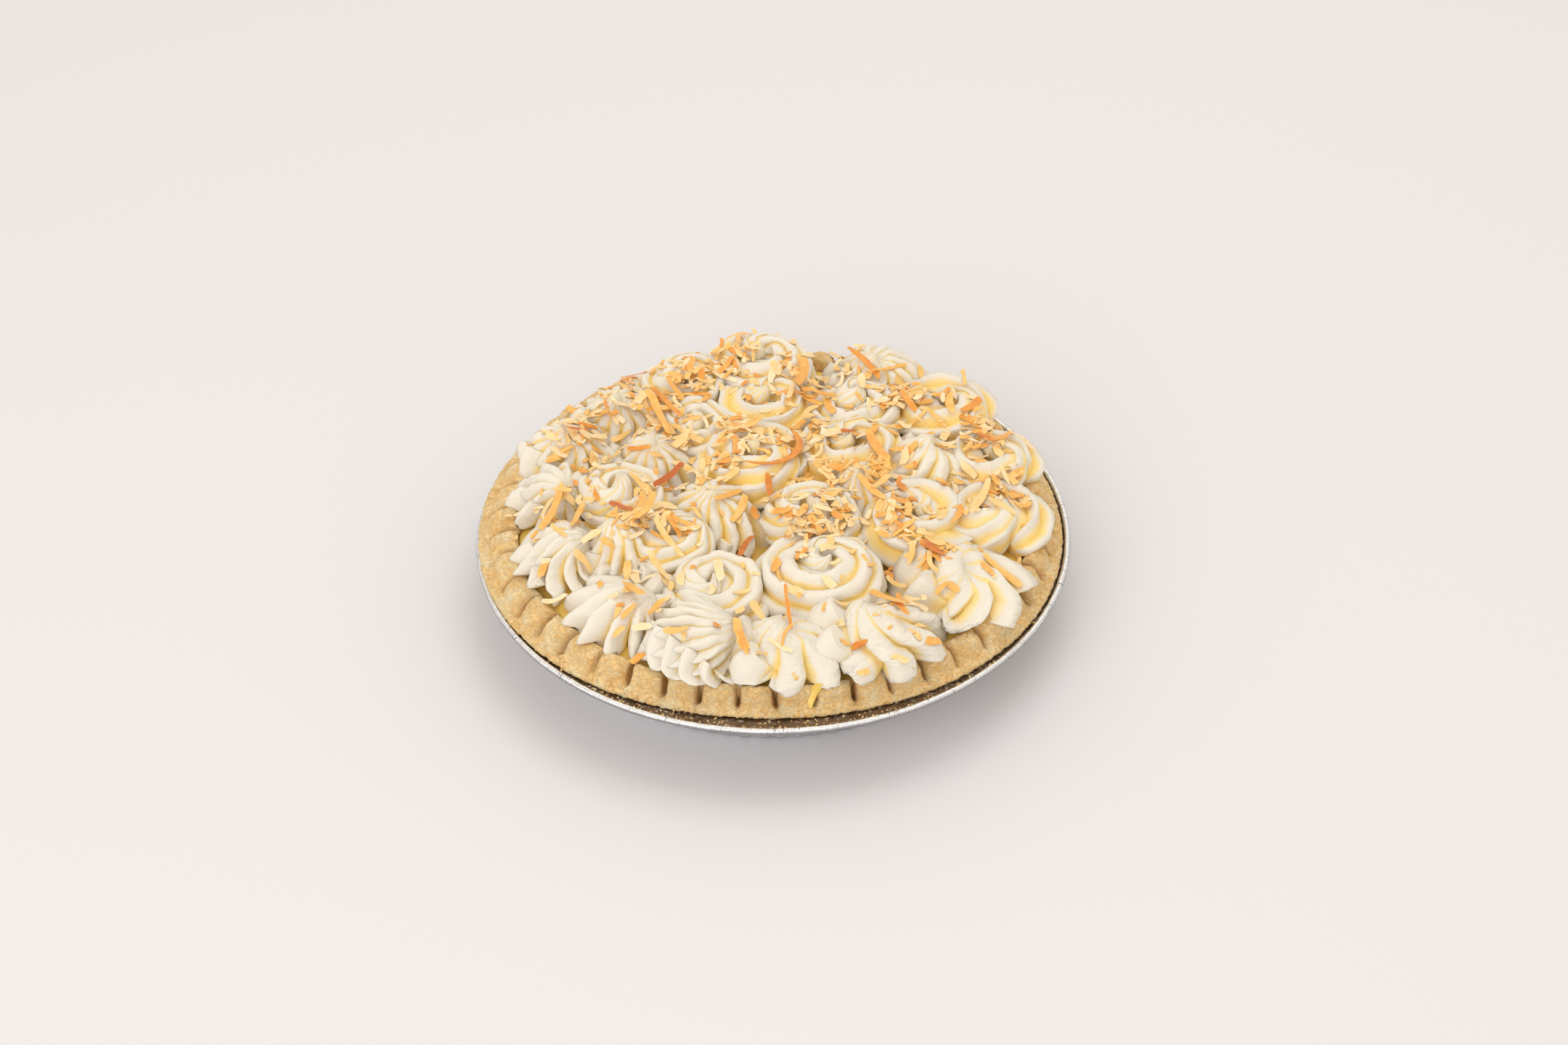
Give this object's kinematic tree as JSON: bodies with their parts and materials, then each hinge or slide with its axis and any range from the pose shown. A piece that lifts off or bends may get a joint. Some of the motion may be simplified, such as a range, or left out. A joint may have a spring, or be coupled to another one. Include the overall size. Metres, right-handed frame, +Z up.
{
  "type": "coconut cream pie",
  "caption": "Round whole pie in a fluted foil tin: crimped pastry rim, custard filling, piped whipped-cream rosettes and toasted coconut strips.",
  "frame": {"origin": "middle of the tin's flat bottom, on the surface that the pie stands on", "axes": "+Z up through the middle of the pie; -Y is the side nearest the viewer; +X to the viewer's right"},
  "size_m": [0.228, 0.228, 0.056],
  "materials": {
    "foil": "bright rolled foil with a softly wrinkled edge",
    "pastry": "baked shortcrust, matte and finely flaky, darker in the crimps",
    "custard": "set coconut custard with a soft gloss",
    "whipped_cream": "piped cream, smooth and satin with ragged ridges",
    "coconut": "dried coconut strips, from cream-white to toasted orange-brown"
  },
  "bodies": {
    "root": {"foil_tin": "foil", "pie_crust": "pastry", "coconut_custard": "custard", "rosette_01": "whipped_cream", "rosette_02": "whipped_cream", "rosette_03": "whipped_cream", "rosette_04": "whipped_cream", "rosette_05": "whipped_cream", "rosette_06": "whipped_cream", "rosette_07": "whipped_cream", "rosette_08": "whipped_cream", "rosette_09": "whipped_cream", "rosette_10": "whipped_cream", "rosette_11": "whipped_cream", "rosette_12": "whipped_cream", "rosette_13": "whipped_cream", "rosette_14": "whipped_cream", "rosette_15": "whipped_cream", "rosette_16": "whipped_cream", "rosette_17": "whipped_cream", "rosette_18": "whipped_cream", "rosette_19": "whipped_cream", "rosette_20": "whipped_cream", "rosette_21": "whipped_cream", "rosette_22": "whipped_cream", "rosette_23": "whipped_cream", "rosette_24": "whipped_cream", "rosette_25": "whipped_cream", "rosette_26": "whipped_cream", "rosette_27": "whipped_cream", "rosette_28": "whipped_cream", "rosette_29": "whipped_cream", "rosette_30": "whipped_cream", "rosette_31": "whipped_cream"}
  },
  "joints": []
}
